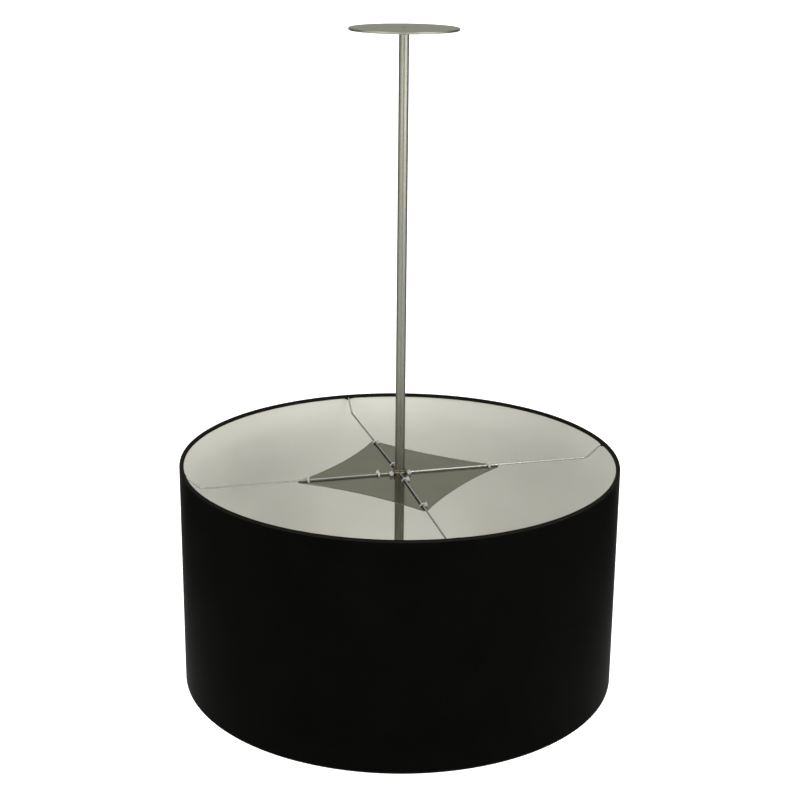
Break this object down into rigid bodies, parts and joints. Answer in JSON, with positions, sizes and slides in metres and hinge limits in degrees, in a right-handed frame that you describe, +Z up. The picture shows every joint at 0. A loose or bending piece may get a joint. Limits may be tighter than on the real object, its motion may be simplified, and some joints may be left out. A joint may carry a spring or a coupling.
{
  "type": "drum chandelier",
  "caption": "Drum chandelier: black rolled-edge shade with a white liner, wire spider, star-shaped heat plate, tube stem, flat ceiling disc and screw-in lamps.",
  "frame": {"origin": "centre of the ceiling disc's top face, where the fixture meets the ceiling", "axes": "+Z up along the stem, out of the ceiling disc; +X along one spider arm and +Y along the next, with one lamp along each"},
  "size_m": [0.584, 0.584, 0.866],
  "materials": {
    "disc_steel": "brushed stainless sheet, satin, lightly mottled",
    "heat_plate_steel": "satin stainless sheet with soft mirror reflections",
    "stem_nickel": "brushed nickel plate",
    "hub_brass": "polished, brassy nickel",
    "arm_wire": "bright nickel-plated wire",
    "ring_wire": "zinc-plated wire",
    "zinc": "zinc-plated thread",
    "skin": "satin black laminated paper, rolled at both edges",
    "liner": "matt white liner sheet",
    "nylon": "natural white nylon",
    "cluster_nickel": "satin nickel",
    "holder": "moulded black phenolic",
    "holder_brass": "pressed brass",
    "lamp_cap": "pressed aluminium, satin",
    "lamp_tip": "black glass insulator with a soldered tip",
    "lamp_glass": "frosted white",
    "lead_black": "black wire insulation",
    "lead_white": "white wire insulation",
    "connector": "orange moulded plastic"
  },
  "bodies": {
    "fixture": {"ceiling_plate": "disc_steel", "ceiling_nipple": "zinc", "stem_upper": "stem_nickel", "stem_lower": "stem_nickel", "centre_nipple": "zinc", "spider_hub": "hub_brass", "spider_arm_1": "arm_wire", "spider_arm_2": "arm_wire", "spider_arm_3": "arm_wire", "spider_arm_4": "arm_wire", "shade_skin": "skin", "shade_liner": "liner", "shade_ring_top": "ring_wire", "shade_ring_bottom": "ring_wire", "heat_plate": "heat_plate_steel", "cable_tie_1": "nylon", "cable_tie_2": "nylon", "cable_tie_3": "nylon", "cable_tie_4": "nylon", "cable_tie_5": "nylon", "cable_tie_6": "nylon", "cable_tie_7": "nylon", "cable_tie_8": "nylon", "cable_tie_9": "nylon", "cluster_body": "cluster_nickel", "cluster_cover": "cluster_nickel", "cluster_nipple": "zinc", "cluster_locknut": "zinc", "holder_cup_1": "holder", "holder_nipple_1": "zinc", "holder_shell_1": "holder_brass", "holder_contact_1": "holder_brass", "holder_cup_2": "holder", "holder_nipple_2": "zinc", "holder_shell_2": "holder_brass", "holder_contact_2": "holder_brass", "holder_cup_3": "holder", "holder_nipple_3": "zinc", "holder_shell_3": "holder_brass", "holder_contact_3": "holder_brass", "holder_cup_4": "holder", "holder_nipple_4": "zinc", "holder_shell_4": "holder_brass", "holder_contact_4": "holder_brass", "lead_live": "lead_black", "lead_neutral": "lead_white", "connector_live": "connector", "connector_neutral": "connector"},
    "lamp_1_tip": {"bulb_tip_1": "lamp_tip"},
    "lamp_1": {"bulb_cap_1": "lamp_cap", "bulb_glass_1": "lamp_glass"},
    "lamp_2_tip": {"bulb_tip_2": "lamp_tip"},
    "lamp_2": {"bulb_cap_2": "lamp_cap", "bulb_glass_2": "lamp_glass"},
    "lamp_3_tip": {"bulb_tip_3": "lamp_tip"},
    "lamp_3": {"bulb_cap_3": "lamp_cap", "bulb_glass_3": "lamp_glass"},
    "lamp_4_tip": {"bulb_tip_4": "lamp_tip"},
    "lamp_4": {"bulb_cap_4": "lamp_cap", "bulb_glass_4": "lamp_glass"}
  },
  "joints": [
    {"name": "lamp_1_lift", "type": "slide", "parent": "fixture", "child": "lamp_1_tip", "axis": [1, 0, 0], "range_m": [0, 0.01815]},
    {"name": "lamp_1_turn", "type": "hinge", "parent": "lamp_1_tip", "child": "lamp_1", "pos_m": [0.0503, 0, -0.775], "axis": [1, 0, 0], "range_deg": [0, 1800]},
    {"name": "lamp_2_lift", "type": "slide", "parent": "fixture", "child": "lamp_2_tip", "axis": [0, 1, 0], "range_m": [0, 0.01815]},
    {"name": "lamp_2_turn", "type": "hinge", "parent": "lamp_2_tip", "child": "lamp_2", "pos_m": [0, 0.0503, -0.775], "axis": [0, 1, 0], "range_deg": [0, 1800]},
    {"name": "lamp_3_lift", "type": "slide", "parent": "fixture", "child": "lamp_3_tip", "axis": [-1, 0, 0], "range_m": [0, 0.01815]},
    {"name": "lamp_3_turn", "type": "hinge", "parent": "lamp_3_tip", "child": "lamp_3", "pos_m": [-0.0503, 0, -0.775], "axis": [-1, 0, 0], "range_deg": [0, 1800]},
    {"name": "lamp_4_lift", "type": "slide", "parent": "fixture", "child": "lamp_4_tip", "axis": [0, -1, 0], "range_m": [0, 0.01815]},
    {"name": "lamp_4_turn", "type": "hinge", "parent": "lamp_4_tip", "child": "lamp_4", "pos_m": [0, -0.0503, -0.775], "axis": [0, -1, 0], "range_deg": [0, 1800]}
  ],
  "couplings": [
    {"joint": "lamp_1_lift", "follows": "lamp_1_turn", "m_per_rad": 0.0005775},
    {"joint": "lamp_2_lift", "follows": "lamp_2_turn", "m_per_rad": 0.0005775},
    {"joint": "lamp_3_lift", "follows": "lamp_3_turn", "m_per_rad": 0.0005775},
    {"joint": "lamp_4_lift", "follows": "lamp_4_turn", "m_per_rad": 0.0005775}
  ]
}
